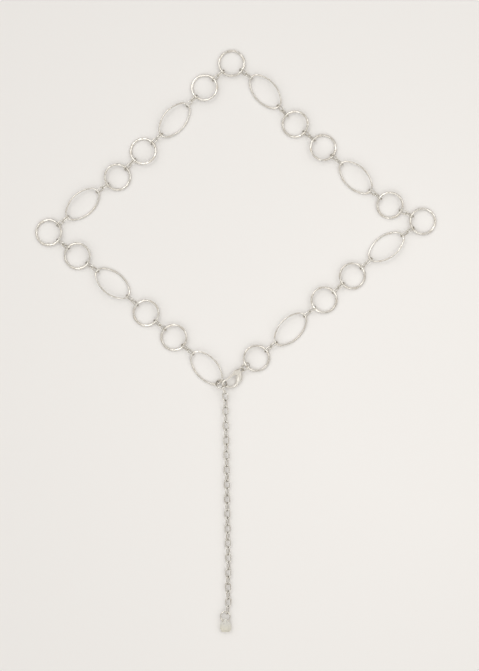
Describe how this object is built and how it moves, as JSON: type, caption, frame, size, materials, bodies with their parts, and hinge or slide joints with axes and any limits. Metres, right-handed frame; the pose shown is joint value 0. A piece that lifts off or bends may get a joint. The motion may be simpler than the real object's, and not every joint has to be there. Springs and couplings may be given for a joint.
{
  "type": "waist chain",
  "caption": "Closed waist chain of round and oval wire rings joined by small links, with a lever claw clasp, an extender chain and a faceted drop, laid flat.",
  "frame": {"origin": "middle of the layout's box, on the surface that the chain lies on", "axes": "+Y up the layout from the drop to the loop's top corner, +X to its right, +Z off the surface"},
  "size_m": [0.3414, 0.495, 0.0088],
  "materials": {
    "hammered_silver": "bright silver plate, lightly hammered",
    "wire_silver": "bright drawn wire",
    "polished_silver": "polished casting",
    "pale_crystal": "faceted pale champagne crystal"
  },
  "bodies": {
    "chain": {"ring_1": "hammered_silver", "oval_1": "hammered_silver", "ring_2": "hammered_silver", "ring_3": "hammered_silver", "oval_2": "hammered_silver", "ring_4": "hammered_silver", "ring_5": "hammered_silver", "oval_3": "hammered_silver", "ring_6": "hammered_silver", "ring_7": "hammered_silver", "oval_4": "hammered_silver", "ring_8": "hammered_silver", "ring_11": "hammered_silver", "oval_6": "hammered_silver", "ring_10": "hammered_silver", "ring_9": "hammered_silver", "oval_5": "hammered_silver", "ring_15": "hammered_silver", "oval_8": "hammered_silver", "ring_14": "hammered_silver", "ring_13": "hammered_silver", "oval_7": "hammered_silver", "ring_12": "hammered_silver", "upper_right_links": "wire_silver", "lower_right_links": "wire_silver", "lower_left_links": "wire_silver", "upper_left_links": "wire_silver", "extender_chain": "wire_silver", "closing_ring": "wire_silver", "clasp_ring": "wire_silver", "clasp_body": "polished_silver", "end_ring": "wire_silver", "crystal_drop": "pale_crystal"},
    "lever": {"clasp_lever": "polished_silver"}
  },
  "joints": [
    {"name": "lever_hinge", "type": "hinge", "parent": "chain", "child": "lever", "pos_m": [0.00028, -0.02695, 0.00366], "axis": [0.1704, -0.1955, 0.9658], "range_deg": [0, 20], "stiffness_Nm_per_rad": 0.01, "springref_deg": -5.73}
  ]
}
